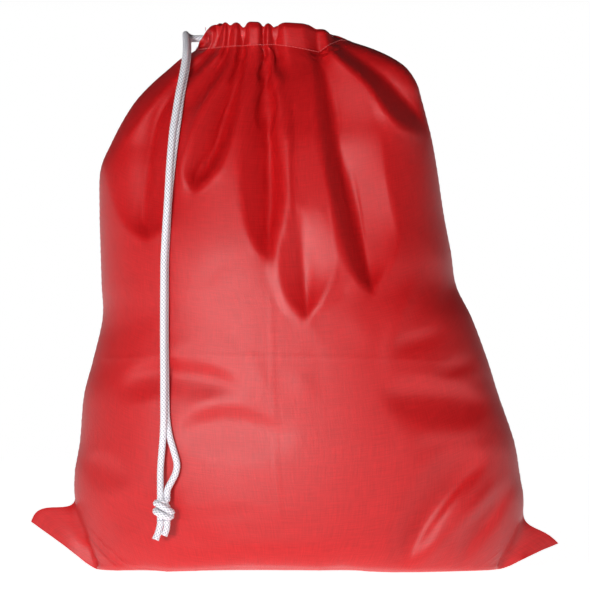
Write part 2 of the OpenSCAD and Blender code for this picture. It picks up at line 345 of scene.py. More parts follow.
# From the exit into the casing, in the front half. The back half mirrors it.
EXIT_BEND = MM * np.array([
    [-95.1,-4,515], [-93,-4,515], [-90.5,-4,515], [-87.8,-5,515], [-85.4,-7.2,515],
    [-83.6,-10.2,515],
], float)
BRAID_STRANDS = 6  # strands that turn each way round the cord
BRAID_PITCH = 0.0038
BRAID_LIFT = 0.0006
STRAND_STEP, KNOT_STEP, RUN_STEP = 0.00055, 0.0005, 0.0011  # between a tube's rings
CUT_END, CUT_SPREAD = 0.004, 0.12  # a cut end's length, and how much wider it gets
CUT_BRAID = 0.3  # the braid's height in the middle of an end, which sets how much painted shade the end's middle gets


def frames_along(path):
    """For each point of a path: two directions across it, which turn as little as they can."""
    ahead = np.gradient(path, axis=0)
    ahead /= np.linalg.norm(ahead, axis=1, keepdims=True)
    side = np.empty_like(path)
    last = np.array([0.31, 0.2, 0.93]) if abs(ahead[0, 2]) < 0.8 else np.array([1.0, 0.1, 0])
    for i, direction in enumerate(ahead):
        last = last - direction * last.dot(direction)
        last = last / np.linalg.norm(last)
        side[i] = last
    return side, np.cross(ahead, side)


def tube_points(path, radius, sides):
    """Rings of points round a path: [ring, side, xyz]."""
    side, up = frames_along(path)
    angle = np.linspace(0, 2 * math.pi, sides, endpoint=False)[:, None]
    out = np.cos(angle) * side[:, None] + np.sin(angle) * up[:, None]
    return path[:, None] + radius[..., None] * out


def braid_height(angle, along):
    """How far the braid's strands stand up, from 0 to 1, round the cord and along it."""
    turn = BRAID_STRANDS * angle[None, :] / (2 * math.pi)
    step = along[:, None] / BRAID_PITCH
    left, right = np.cos(math.pi * (turn + step)), np.cos(math.pi * (turn - step))
    return 0.5 * (left**2 * (1 + left * right) + right**2 * (1 - left * right))


def braided_tube(route, spacing=STRAND_STEP, sides=32, cut_end=False):
    """Vertices and faces of a braided cord along a route, its centre's path, and the braid's height
    at each point, which also sets the painted shade in its gaps.
    """
    length = arc_lengths(spline(route, 400))[-1]
    path = spline(route, int(length / spacing) + 2)
    along = np.linspace(0, length, len(path))
    braid = braid_height(np.linspace(0, 2 * math.pi, sides, endpoint=False), along)
    radius = CORD_D / 2 - 0.4 * BRAID_LIFT + BRAID_LIFT * braid
    if cut_end:
        radius = radius * (1 + CUT_SPREAD * smooth(1 - (length - along) / CUT_END))[:, None]
    verts = tube_points(path, radius, sides).reshape(-1, 3)
    verts = np.concatenate([verts, path[:1], path[-1:]])
    faces = []
    last = (len(path) - 1) * sides
    for ring in range(0, last, sides):
        for k in range(sides):
            a, b = ring + k, ring + (k + 1) % sides
            faces.append((b, b + sides, a + sides, a))
    start, end = last + sides, last + sides + 1
    for k in range(sides):
        faces.append((start, (k + 1) % sides, k))
        faces.append((end, last + k, last + (k + 1) % sides))
    return verts, faces, path, np.append(braid.ravel(), (CUT_BRAID, CUT_BRAID))


def joined(parts):
    """Several (vertices, faces) lists as one."""
    verts, faces, count = [], [], 0
    for part_verts, part_faces in parts:
        verts.append(np.asarray(part_verts))
        faces += [tuple(i + count for i in face) for face in part_faces]
        count += len(part_verts)
    return np.concatenate(verts), faces


def cord_piece(name, tubes, material):
    """One piece of the cord. It stores how far the braid stands up at each point, which its
    material uses to paint shade into the braid's gaps.
    """
    piece = new_object(name, *joined([tube[:2] for tube in tubes]), material)
    store_values(piece, "braid", "FLOAT", "value", np.concatenate([tube[3] for tube in tubes]))
    return piece


def make_cords(material):
    ways = [braided_tube(KNOT_AT + way, KNOT_STEP) for way in KNOT_WAYS]
    tails = [braided_tube(way, KNOT_STEP, cut_end=True) for way in TAILS]
    knot = cord_piece("overhand_knot", ways, material)
    ends = cord_piece("cord_tails", tails, material)
    for piece, node in ((knot, "drawcord_knot"), (ends, "drawcord_ends")):
        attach(piece, "drawcord")
        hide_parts(node)
    paths = []
    for name, route, node, pieces in (
        ("front_strand", FRONT_STRAND, "drawcord_front_strand", (knot, ends)),
        ("back_strand", BACK_STRAND, "drawcord_back_strand", ()),
    ):
        tube = braided_tube(route)
        path = tube[2]
        paths.append(path)
        strand = cord_piece(name, [tube], material)
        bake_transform(strand)
        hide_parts(node)
    turn = np.radians(np.linspace(203, 360, 18))
    ring = np.stack([MOUTH_X + RING_A * np.cos(turn), RING_B * np.sin(turn), 0 * turn + RUN_Z], 1)
    way = np.concatenate([EXIT_BEND, ring])
    for side, name, nodes in (
        (1, "cord_in_front_hem", ("drawcord_front_run", "drawcord_exit_bends")),
        (-1, "cord_in_back_hem", ("drawcord_back_run", "drawcord_far_bend")),
    ):
        run = cord_piece(name, [braided_tube(way * (1, side, 1), RUN_STEP, 16)], material)
        open_with_mouth(run)
        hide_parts(*nodes)
    return paths


def open_with_mouth(piece):
    """Bakes a piece's placement into its points."""
    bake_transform(piece)


# ---- the filled outline ----

# The filled sack in levels, from the base to the stitch line and on to the hem. Each level is a
# rounded outline: [left x, left z, right x, right z, depth to the front, fullness], in mm.
BODY_LEVELS = [
    [-190, 0, 196, 0, 80, 1.9],
    [-192, 6, 199, 6, 99, 1.9],
    [-198, 22, 209, 22, 112, 1.95],
    [-207, 45, 220, 45, 119, 2.0],
    [-213, 68, 223, 66, 124, 2.1],
    [-213, 96, 219, 92, 128, 2.2],
    [-208, 126, 213, 126, 131, 2.3],
    [-204, 170, 198, 170, 133, 2.35],
    [-195, 205, 187, 205, 134, 2.35],
    [-186, 245, 172, 245, 133, 2.35],
    [-187, 278, 157, 276, 131, 2.35],
    [-188, 311, 152, 308, 127, 2.35],
    [-189, 350, 145, 345, 118, 2.35],
    [-188, 388, 139, 386, 106, 2.35],
    [-177, 415, 134, 415, 96, 2.35],
    [-165, 438, 129, 436, 85, 2.35],
    [-153, 456, 124, 455, 75, 2.3],
    [-138, 472, 119, 472, 65, 2.25],
    [-122, 486, 109, 487, 55.5, 2.2],
    [-111, 495.5, 95, 497, 50, 2.1],
    [-103, 500, 78, 505, 47, 2.0],
    [-98, 502.5, 62, 510.5, 45, 2.0],
    [-95, 504, 52, 513.5, 43.5, 2.0],
]
# From the stitch line over the top edge and down inside to the stitch line again.
HEM_LEVELS = [
    [-95, 504, 52, 513.5, 43.5, 2.0],
    [-93.5, 508, 48, 515.5, 42.5, 2.0],
    [-92.5, 511, 44, 517, 41.5, 2.0],
    [-91.5, 514, 41, 518, 40.5, 2.0],
    [-89.5, 516, 38.5, 518.5, 38.5, 2.0],
    [-87, 518, 36, 518.8, 36.5, 2.0],
    [-85.5, 518.6, 34.3, 518.8, 34.8, 2.0],
    [-84, 518, 32.6, 518, 33.1, 2.0],
    [-82, 515.5, 30.5, 516, 31.3, 2.0],
    [-80.3, 512, 28.8, 513, 29.7, 2.0],
    [-80.5, 507, 29.5, 509, 30.2, 2.0],
    [-84, 502, 33, 505, 34, 2.0],
]
# How far the top edge stands above its two ends: [x, height], in mm.
RIM_RISE = MM * np.array([
    [-90,-2], [-82,5], [-73,10.5], [-55,9.5], [-30,8.5], [-5,8.5], [14,7.5], [27,3.5], [37,0],
])
# The flat lower corners, left then right, in mm. Each ear: its end's lower and upper corner
# [x, z], its root's height, and how much of the side seam and of the bottom seam it takes.
EARS = MM * np.array([
    [-256, 47, -254, 61, 61, 44, 84], [257, 26, 249, 36, 46, 36, 66],
], float)
EAR_SWEEP = 0.02  # how far the ears' tips lean back
TABLE_LEVELS = np.linspace(0, 1, 401)  # fractions of the way up the wrapped surface's columns
ROOT_LEVELS = 240  # the first of these levels, which hold the ears' roots
FLOOR_ROWS = 30


def outlines(levels, count, columns):
    """A smooth surface through the levels: points [level, column, xyz] of the front half."""
    size = np.array(levels, float)
    size[:, :5] *= MM
    left_x, left_z, right_x, right_z, depth, fullness = spline(size, count).T[:, :, None]
    # the columns are spaced evenly round an ellipse of the belly's proportions
    a = np.linspace(math.pi, 0, 361)
    along = arc_lengths(np.stack([0.2 * np.cos(a), 0.13 * np.sin(a)], axis=1))
    a = np.interp(columns * along[-1], along, a)
    across = np.sign(np.cos(a)) * np.abs(np.cos(a)) ** (2 / fullness)
    forward = np.abs(np.sin(a)) ** (2 / fullness)
    x = (left_x + right_x) / 2 + (right_x - left_x) / 2 * across
    z = (left_z + right_z) / 2 + (right_z - left_z) / 2 * across
    return np.stack([x, -depth * forward, z], axis=-1)


def along_columns(surface, fractions):
    """The surface's points at fractions of the way up each of its columns."""
    columns = []
    for line in np.moveaxis(surface, 1, 0):
        along = arc_lengths(line)
        columns.append(values_at(fractions * along[-1], along, line))
    return np.stack(columns, axis=1)


def table_at(table, row, column):
    """The table's value at fractions of the way along its rows and columns."""
    last = np.array(table.shape[:2]) - 1
    return between(table, np.clip(row, 0, 1) * last[0], np.clip(column, 0, 1) * last[1])


def filled_body(side):
    """One panel from its bottom seam to the stitch line, filled out, without its folds.

    Returns points [row, column, xyz] and how far each lies from the side seams, from 0 to 1.
    The back (side -1) is made facing forward too, with its ears leaning the other way.
    """
    walls = outlines(BODY_LEVELS, 400, np.linspace(0, 1, 241))
    inwards = np.ones((FLOOR_ROWS, 1, 3))
    inwards[:, 0, 1] = np.linspace(0, 1, FLOOR_ROWS)
    floor = (walls[:1] * inwards)[:-1]
    table = along_columns(np.concatenate([floor, walls]), TABLE_LEVELS)
    roots = [np.interp(ear[4], table[:ROOT_LEVELS, end, 2], TABLE_LEVELS[:ROOT_LEVELS])
             for ear, end in zip(EARS, (0, -1))]

    u = np.linspace(0, PANEL_W, COLUMNS + 1)[None, :]
    v = np.linspace(0, BODY_H, ROWS + 1)[:, None]
    taken = [ear[6] * np.clip(1 - v / ear[5], 0, 1) for ear in EARS]
    across = np.clip((u - taken[0]) / (PANEL_W - taken[0] - taken[1]), 0, 1)
    # beside the ears the cloth starts to rise at once: there is no base under it
    side_rows = [np.interp(v, [0, ear[5], BODY_H], [0, root, 1]) for ear, root in zip(EARS, roots)]
    inner = smooth(np.minimum(across, 1 - across) / 0.2)
    rows = np.where(across < 0.5, *side_rows) * (1 - inner) + v / BODY_H * inner
    shape = table_at(table, rows, across)
    for ear, root, end, distance in zip(EARS, roots, (0.0, 1.0), (u, PANEL_W - u)):
        low_x, low_z, high_x, high_z, _, seam, bottom = ear
        out = np.clip(1 - distance / (bottom * np.clip(1 - v / seam, 1e-6, 1)), 0, 1) * (v < seam)
        low = np.array([low_x, side * EAR_SWEEP, low_z])
        high = np.array([high_x, side * 0.97 * EAR_SWEEP, high_z])
        base = table_at(table, np.array([root]), np.array([end]))[0]
        up = (v / seam)[..., None]
        edge = low + (high - low) * smooth(up / 0.3)
        edge = edge + (base - edge) * np.clip((up - 0.3) / 0.7, 0, 1)
        shape += (edge - shape) * out[..., None]
    return shape, np.minimum(across, 1 - across)


# ---- the folds ----

# The fold lines of the upper part, from left to right: a ridge has a height above zero, a valley
# below it, and the cloth between two neighbours runs straight across. Each line's points are
# [x, z, height] in mm, from its upper end down. Its side is seen from outside.
FRONT_LINES = [
    [[-96,534,0], [-93,516,0], [-94,502,0], [-109,494,0], [-123,485,0], [-143,469,0],
     [-159,452,0], [-179,414,0], [-191,388,0], [-193,240,0]],
    # the lit band of the left shoulder
    [[-76,534,3], [-80,516,6], [-88,504,6], [-97,495,5], [-108,484,4], [-128,462,4],
     [-145,440,4], [-162,419,3], [-174,408,2], [-184,402,0]],
    [[-184,402,0], [-178,367,1.5], [-166,338,1.5], [-153,325,1], [-141,321,0]],
    [[-69,534,-4], [-71,515,-7], [-75,507,-8], [-89,490,-8], [-102,477,-6], [-115,461,-6],
     [-130,439,-9], [-136,414,-13], [-140,385,-14], [-143,355,-12], [-143,335,-9], [-141,321,0]],
    [[-64,534,5], [-68,515,6], [-72,500,7], [-89,484,6], [-101,470,5], [-112,452,2],
     [-120,430,-2], [-122,400,-4], [-119,370,-3], [-120,345,-1], [-128,328,1], [-141,321,0]],
    [[-59,534,-3], [-63,514,-5], [-65,502,-6], [-79,475,-6], [-89,459,-5], [-102,444,-1],
     [-112,434,0]],
    # the tongue beside the cord
    [[-54,534,4], [-56,518,5], [-58,504,6], [-61,490,6], [-70,474,6], [-81,460,6], [-95,427,5],
     [-103,402,4], [-107,386,3], [-104,375,2], [-97,368,0]],
    [[-49,534,-6], [-48,518,-8], [-48,506,-9], [-51,490,-9], [-55,470,-9], [-60,452,-11],
     [-66,430,-13], [-74,408,-14], [-84,390,-12], [-92,378,-8], [-97,368,0]],
    [[-45,534,4], [-45,518,6], [-46,499,6], [-47,484,6], [-48,467,6], [-50,452,6], [-54,432,6],
     [-60,413,5], [-68,396,4], [-78,382,3], [-88,373,1], [-97,368,0]],
    # the deep fold that ends in the middle's pinch
    [[-33,534,4], [-33,518,6], [-33,499,6], [-35,480,5], [-40,455,4], [-46,430,3], [-51,405,3],
     [-52,380,3], [-49,345,2], [-40,318,1.5], [-27,301,0]],
    [[-29.5,534,-6], [-30,518,-8], [-29,497,-9], [-27,476,-10], [-25,450,-12], [-24,425,-13],
     [-22,408,-13], [-21,384,-13], [-22,356,-12], [-23.5,325,-9], [-24,300,0]],
    [[-26,534,4], [-26,520,6], [-27,508,6], [-24,490,6], [-19.5,472,7], [-16,449,8],
     [-14.5,425,8], [-12.5,405,7], [-10,385,6], [-9,365,5], [-12,345,4], [-16,322,3], [-21,302,0]],
    # the wide flat fold to its right
    [[-19,534,-4], [-19,518,-6], [-19.5,504,-7], [-17.5,495,-6], [-14,484,-1], [-12,474,5]],
    [[-13,534,3], [-11,520,5], [-8,504,5], [-4,492,5], [-2,472,5], [0,440,5], [2,410,5],
     [3,380,4], [2,358,3.6]],
    [[-2,352,3.6], [-9,332,3], [-15,305,2.5], [-14,281,2], [-5,258,1.5], [10,244,0]],
    [[6,352,3.5], [6,332,-1], [8,308,-6], [10,282,-8], [11,260,-6], [10,244,0]],
    [[22,356,3.3], [33,336,3], [40,310,2.5], [40,294,2], [34,276,2], [23,257,1.5], [11,244,0]],
    [[-27,301,0], [-24,284,0], [-15,260,0], [0,242,0]],
    [[48,271,0], [36,256,0], [16,242,0]],
    [[6,534,3], [8,518,5], [12,504,5], [16,492,5], [19,472,5], [22,445,5], [25,416,5],
     [30,384,4.5], [37,352,4], [43,326,3], [50,299,2.5], [60,281,2], [73,271,0]],
    # the long fold of the right side
    [[20,534,-1], [23,500,-3], [28,485,-5], [33,465,-8], [37,440,-11], [41,410,-14],
     [48,384,-17], [56,352,-18], [62,326,-17], [68,300,-14], [72,283,-9], [74,271,0]],
    [[70,452,3.4], [78,432,1.5], [84,410,1], [88,380,1], [94,352,1], [100,322,2], [93,299,2],
     [83,279,1.5], [75,271,0]],
    # the sharp ridge, pocket and outer band of the right shoulder
    [[27,534,4], [30,518,5], [32,510,7], [34,503,8], [45,493,9], [56,484,9], [73,467,9],
     [86,447,9], [99,432,8], [112,425,5], [124,421,1]],
    [[33,534,-2], [39,514,-5], [48,503,-8], [66,491,-11], [84,477,-13], [100,461,-14],
     [113,446,-12], [122,434,-6], [128,421,0]],
    [[58,522,0], [88,500,0], [106,484,0], [120,465,0], [128,446,0], [134,422,0], [141,390,0],
     [151,340,0], [160,280,0]],
    [[124,421,0], [125,400,1.5], [126,336,1.5], [134,303,1.5], [150,265,0]],
    [[53,534,0], [62,513,0], [83,503,0], [102,493,0], [116,480,0], [125,465,0], [130,450,0],
     [136,425,0], [148,345,0], [160,300,0], [162,240,0]],
]
BACK_LINES = [
    [[-54,534,0], [-80,503,0], [-116,480,0], [-136,425,0], [-148,345,0]],
    [[-40,534,4], [-46,515,6], [-62,498,6], [-90,465,5], [-112,430,0], [-124,360,0]],
    [[-31,534,-5], [-34,515,-7], [-42,500,-9], [-62,465,-11], [-84,425,-11], [-98,376,0]],
    [[-22,534,5], [-24,515,6], [-28,500,6], [-42,460,6], [-58,415,5], [-72,370,3], [-80,320,0],
     [-84,290,0]],
    [[-13,534,-5], [-14,515,-7], [-17,500,-9], [-25,460,-12], [-36,410,-12], [-48,350,-8],
     [-55,312,0]],
    [[-4,534,4], [-4,515,6], [-5,500,6], [-8,460,6], [-14,410,5], [-22,350,3], [-28,310,0],
     [-30,280,0]],
    [[4,534,-5], [5,515,-7], [6,500,-9], [8,460,-11], [8,410,-13], [5,350,-10], [2,290,0]],
    [[14,534,5], [16,515,6], [18,500,6], [24,460,6], [29,410,5], [32,350,3], [34,310,0],
     [34,280,0]],
    [[24,534,-5], [27,515,-7], [31,500,-9], [42,460,-11], [54,410,-12], [60,350,-8], [64,305,0]],
    [[36,534,4], [38,515,6], [44,500,6], [60,460,6], [78,415,5], [92,365,3], [96,325,0],
     [97,290,0]],
    [[48,534,-4], [52,515,-6], [60,500,-8], [82,462,-10], [106,420,-12], [124,375,-8],
     [128,335,0]],
    [[66,534,3], [72,515,5], [82,500,5], [108,470,5], [138,430,3], [158,390,0], [162,320,0]],
    [[90,534,0], [96,502,0], [124,485,0], [160,452,0], [192,388,0]],
]

# Softer dents. Each runs along a line on its side: points of [x, z, height, reach to its left,
# reach to its right] in mm. Left and right are as seen by someone who walks along the line.
FRONT_FOLDS = [
    # left half, from the top: under the cord, below it, and by the ear
    [[-168,172,0,10,16], [-155,183,-3.5,14,25], [-136,192,-5.8,15,34], [-108,192,-5.8,15,34],
     [-76,187,-4.5,15,28], [-48,177,0,10,16]],
    [[-112,126,0,10,16], [-92,141,-3,17,39], [-60,147,-4,20,44], [-28,140,-3,17,37],
     [2,128,0,14,16]],
    [[-208,103,0,10,16], [-191,105,-4,14,30], [-173,99,-4,14,30], [-156,88,0,10,14]],
    [[-182,62,0,8,14], [-160,66,-4,12,32], [-134,62,-4,12,32], [-104,50,0,10,16]],
    [[-114,30,0,10,12], [-92,32,-1.8,12,21], [-60,26,0,10,12]],
    # right half: the long soft crease, the pocket and the two shelves
    [[121,287,0,8,9], [110,265,1.6,8,13], [100,242,1.8,8,14], [93,215,1.6,8,13], [90,186,0,8,9]],
    [[92,212,0,5,12], [103,222,-2.7,5,18], [121,228,-3,5,20], [146,234,0,5,12]],
    [[133,190,0,9,8], [150,196,-3,12,10], [164,200,-3,13,10], [178,202,0,9,8]],
    [[156,284,0,8,8], [149,262,-2.7,13,13], [158,243,-1,11,11], [163,222,0,8,8]],
    [[84,170,0,10,18], [104,174,-5.3,15,34], [136,172,-7,17,39], [166,165,-6.2,17,37],
     [188,156,0,10,18]],
    [[110,122,0,10,14], [132,122,-2.7,14,28], [160,125,-3,14,28], [186,128,0,10,14]],
    # the diagonal folds that rise from the right ear
    [[100,2,0,20,8], [110,22,-8,28,11], [124,47,-13,34,12], [142,72,-14,38,13],
     [160,94,-12,36,14], [184,116,0,20,10]],
    [[122,4,0,7,7], [134,24,4,10,9], [153,45,5,11,10], [178,67,5,11,10], [196,90,0,7,7]],
    [[158,8,0,10,6], [172,33,-9,15,9], [192,59,-10,16,10], [213,90,0,10,6]],
    # across the left ear, and the wrinkles beside its root
    [[-226,14,0,6,6], [-217,26,3.5,10,8], [-206,40,0,6,6]],
    [[-190,8,0,7,7], [-176,20,1.4,8,8], [-158,36,1.4,10,10], [-138,46,0,8,8]],
    [[-188,20,0,6,6], [-180,40,-1.8,8,8], [-172,62,0,7,7]],
]
BACK_FOLDS = [
    [[120,160,0,12,12], [80,172,-3,16,14], [30,168,0,12,12]],
    [[-150,60,0,10,10], [-120,95,-4,14,14], [-90,135,0,12,12]],
    [[-160,190,0,8,8], [-130,200,-3,12,9], [-90,196,0,8,8]],
]
# Sharp creases from when the empty sack lay folded: points of [x, z] in mm, with their height.
PRESSED = [
    (0.2, [[-23,294], [-21,200], [-18,120], [-14,60]]),
    (0.25, [[-186,206], [-90,209], [0,208], [90,206], [184,202]]),
]
CREASE_REACH = 5  # how far a crease reaches to each side, in mm

FOLD_GAIN = 1.25  # how much deeper the folds are below the hem than their lines say
GAIN_BELOW, GAIN_FADE = 0.49, 0.05  # the height below which they get deeper, and over how much
FLAT_BELOW = 0.15  # the fold lines lift nothing below this height
LINE_SAMPLES, DENT_SAMPLES = 700, 150
RELAX_LEVELS, RELAX_PASSES = (16, 8, 4, 2, 1), 120  # from a coarse grid to the full one
CRUMPLES = 34  # slight folds on each side
CRUMPLE_SEED = 71
RELIEF_STEP = 0.001
RELIEF_X = np.arange(-0.27, 0.2701, RELIEF_STEP)
RELIEF_Z = np.arange(0.0, 0.5401, RELIEF_STEP)


def blur_matrix(count, reach):
    gap = np.subtract.outer(np.arange(count), np.arange(count)) * RELIEF_STEP / reach
    weight = np.exp(-0.5 * gap**2)
    return weight / weight.sum(axis=1, keepdims=True)


def blurred(relief, tall, wide):
    """The relief softened over one reach up and down and over another one sideways."""
    return blur_matrix(len(RELIEF_Z), tall) @ relief @ blur_matrix(len(RELIEF_X), wide).T


def line_relief(lines):
    """The heights of a skin that is stretched over the fold lines."""
    points = np.concatenate([spline(MM * np.array(line, float), LINE_SAMPLES) for line in lines])
    relief = None
    for level in RELAX_LEVELS:
        step = RELIEF_STEP * level
        shape = (len(RELIEF_Z) // level + 1, len(RELIEF_X) // level + 1)
        row = np.clip(np.rint((points[:, 1] - RELIEF_Z[0]) / step).astype(int), 0, shape[0] - 1)
        column = np.rint((points[:, 0] - RELIEF_X[0]) / step).astype(int)
        total, count = np.zeros(shape), np.zeros(shape)
        np.add.at(total, (row, column), points[:, 2])
        np.add.at(count, (row, column), 1)
        held = count > 0
        heights = total[held] / count[held]
        if relief is None:
            relief = np.zeros(shape)
        else:
            relief = np.repeat(np.repeat(relief, 2, axis=0), 2, axis=1)
            relief = np.pad(relief, 2, mode="edge")[2 : 2 + shape[0], 2 : 2 + shape[1]]
        for _ in range(RELAX_PASSES):
            relief[held] = heights
            relief[: int(FLAT_BELOW / step)] = 0
            edged = np.pad(relief, 1, mode="edge")
            relief = (edged[2:, 1:-1] + edged[:-2, 1:-1] + edged[1:-1, 2:] + edged[1:-1, :-2]) / 4
            relief[:, 0] = relief[:, -1] = 0
        relief[held] = heights
    relief = relief[: len(RELIEF_Z), : len(RELIEF_X)]
    deeper = 1 + (FOLD_GAIN - 1) * smooth((GAIN_BELOW - RELIEF_Z) / GAIN_FADE)
    return blurred(relief * deeper[:, None], 0.003, 0.0016)


def crumples(panel):
    """Slight chance folds in the filled part, in mm, in the same form as the soft dents."""
    chance = np.random.default_rng(CRUMPLE_SEED + panel)
    folds = []
    for _ in range(CRUMPLES):
        middle = np.array([chance.uniform(-190, 200), chance.uniform(14, 300)])
        turn = chance.normal(0.25 if middle[0] < 0 else -0.35, 0.7)
        half = chance.uniform(18, 46)
        along = np.array([math.cos(turn), math.sin(turn)])
        bow = chance.normal(0, 0.15) * half * np.array([-along[1], along[0]])
        height = chance.uniform(0.3, 0.9) * chance.choice([-1, 1])
        wide = chance.uniform(8, 20, 2)
        folds.append([[*(middle - along * half), 0, *wide * 0.5],
                      [*(middle + bow), height, *wide],
                      [*(middle + along * half), 0, *wide * 0.5]])
    return folds


def add_fold(relief, fold, power=0):
    """Adds one dent or crease to the relief, with soft sides or with sides of the given power."""
    line = spline(MM * np.array(fold, float), DENT_SAMPLES)
    low = line[:, :2].min(axis=0) - line[:, 3:].max()
    high = line[:, :2].max(axis=0) + line[:, 3:].max()
    columns = slice(*np.searchsorted(RELIEF_X, (low[0], high[0])))
    rows = slice(*np.searchsorted(RELIEF_Z, (low[1], high[1])))
    x, z = np.meshgrid(RELIEF_X[columns], RELIEF_Z[rows])
    gap = np.stack([x, z], axis=2)[:, :, None] - line[:, :2]
    distance = np.linalg.norm(gap, axis=3)
    best = distance.argmin(axis=2)
    gap = np.take_along_axis(gap, best[..., None, None], axis=2)[:, :, 0]
    ahead = np.gradient(line[:, :2], axis=0)[best]
    on_left = ahead[..., 0] * gap[..., 1] - ahead[..., 1] * gap[..., 0] > 0
    reach = np.where(on_left, line[best, 3], line[best, 4])
    q = np.minimum(distance.min(axis=2) / reach, 1)
    relief[rows, columns] += line[best, 2] * ((1 - q) ** power if power else 1 - smooth(q))


def fold_relief(folds, pressed):
    """The soft dents' and sharp creases' height on a grid of places, as seen from their side."""
    relief = np.zeros((len(RELIEF_Z), len(RELIEF_X)))
    for fold in folds:
        add_fold(relief, fold)
    relief = blurred(relief, 0.004, 0.004)
    for height, line in pressed:
        add_fold(relief, [[*point, height, CREASE_REACH, CREASE_REACH] for point in line], power=2)
    return relief


def lifted(side, shape, relief, inside):
    """How far the folds stand out at each point of a shape."""
    column = np.clip((side * shape[..., 0] - RELIEF_X[0]) / RELIEF_STEP, 0, len(RELIEF_X) - 1)
    row = np.clip((shape[..., 2] - RELIEF_Z[0]) / RELIEF_STEP, 0, len(RELIEF_Z) - 1)
    return between(relief, row, column) * smooth(inside / 0.04)


# ---- the cloth solver ----

GRAVITY = 9.81
TIME_STEP = 0.0015
SETTLE_STEPS, SWEEPS = 14, 3
SPEED_KEPT = 0.9
SLACK = 1.003  # the cloth's length against that of the shape it starts from
HOLD = 0.06  # how firmly the contents hold the cloth to that shape
SHEAR, BEND = 0.25, 0.15  # stiffness, where a thread's is 1


def pull(a, b, rest, stiffness, push_only=False):
    """Moves the points of a and b, in place, towards their resting distance."""
    gap = b - a
    length = np.sqrt(np.einsum("...i,...i->...", gap, gap)) + 1e-12
    excess = (length - rest) / length
    if push_only:
        excess = np.minimum(excess, 0)
    move = gap * (0.5 * stiffness * excess)[..., None]
    a += move
    b -= move


def cell_lengths(s):
    """The lengths of the cells' sides and of their two diagonals."""
    across = np.linalg.norm(np.diff(s, axis=2), axis=3)
    up = np.linalg.norm(np.diff(s, axis=1), axis=3)
    rising = np.linalg.norm(s[:, 1:, 1:] - s[:, :-1, :-1], axis=3)
    falling = np.linalg.norm(s[:, 1:, :-1] - s[:, :-1, 1:], axis=3)
    return across, up, rising, falling


def pairs(count, first):
    """Slices that pair off neighbours, from the first on: the near ones and the far ones."""
    end = first + (count - first) // 2 * 2
    return slice(first, end, 2), slice(first + 1, end + 1, 2)


def sweep(s, lengths):
    """One pass over the cloth's threads, its shear and its bending."""
    across, up, rising, falling = lengths
    for first in (0, 1):
        near, far = pairs(s.shape[2], first)
        pull(s[:, :, near], s[:, :, far], across[:, :, near], 1.0)
        near, far = pairs(s.shape[1], first)
        pull(s[:, near], s[:, far], up[:, near], 1.0)
    for first_row in (0, 1):
        low, high = pairs(s.shape[1], first_row)
        for first in (0, 1):
            left, right = pairs(s.shape[2], first)
            pull(s[:, low, left], s[:, high, right], rising[:, low, left], SHEAR)
            pull(s[:, low, right], s[:, high, left], falling[:, low, left], SHEAR)
    for step in (2, 4):
        for first in range(step):
            stiffen(np.moveaxis(s, 2, 0), np.moveaxis(across, 2, 0), first, step)
            stiffen(np.moveaxis(s, 1, 0), np.moveaxis(up, 1, 0), first, step)


def stiffen(s, rest, first, step):
    """Resists folding along the first axis: pushes points that are step apart from each other."""
    starts = np.arange(0, (len(s) - 1 - first) // step, 2)
    if len(starts) == 0:
        return
    last = first + step * starts[-1]
    total = sum(rest[first + k : last + k + 1 : 2 * step] for k in range(step))
    near, far = s[first : last + 1 : 2 * step], s[first + step : last + step + 1 : 2 * step]
    pull(near, far, total * 0.995, BEND, True)


# The seams' own depth at a sideways place: the ears lean back, the body's seams lie at 0.
EAR_LEAN = [[-0.257, -0.215, 0.223, 0.257], [EAR_SWEEP, 0, 0, EAR_SWEEP]]


def settle(shape):
    """Lets both panels come to rest, held to their shape only as firmly as the contents do."""
    s = shape.copy()
    lengths = [length * SLACK for length in cell_lengths(s)]
    before = s.copy()
    fixed = s[:, -2:].copy()
    side = np.array([-1.0, 1.0])[:, None, None]
    fall = np.array([0, 0, -1.0]) * GRAVITY * TIME_STEP**2
    for _ in range(SETTLE_STEPS):
        speed = (s - before) * SPEED_KEPT
        before = s.copy()
        s += speed + fall + (shape - s) * HOLD
        for _ in range(SWEEPS):
            sweep(s, lengths)
        middle = np.interp(s[..., 0], *EAR_LEAN)
        s[..., 1] = middle + side * np.maximum(side * (s[..., 1] - middle), CLOTH_T)
        s[..., 2] = np.maximum(s[..., 2], CLOTH_T)
        s[:, -2:] = fixed
        for edge in (s[:, :, 0], s[:, :, -1], s[:, 0]):
            edge[:] = edge.mean(axis=0)
    return s


# ---- making the cloth ----

# The front's stitch line sags under the folds right of the middle: [x, drop], in mm.
STITCH_SAG = MM * np.array([[-60,0], [-20,1], [-5,4], [12,8], [24,11], [34,4], [44,0]])
# How far the lower edge stands off the floor: [x, height], in mm.
EDGE_LIFT = MM * np.array([
    [-196,0], [-165,3.5], [-145,4], [-122,1.5], [-95,2.5], [-46,5.5], [0,4.4], [24,3.4],
    [45,4.8], [72,2.2], [120,0], [170,1.2], [196,0],
])
PUCKER = 0.009  # spacing of the side seams' puckers
SEAM_DRAW, PUCKER_DRAW = 0.0012, 0.0007  # how far the seams and their puckers draw in
HEM_CLEAR = 0.0052  # from the cord's centre in the hem to the cloth round it
OUTER_SPAN, INNER_SPAN = 0.98, 0.93  # how much of the ring's width each ply keeps clear of


def sag(side, shape, near_line):
    if side == 1:
        drop = np.interp(shape[..., 0], *STITCH_SAG.T)
        shape[..., 2] -= drop * near_line * (shape[..., 1] < -0.01)


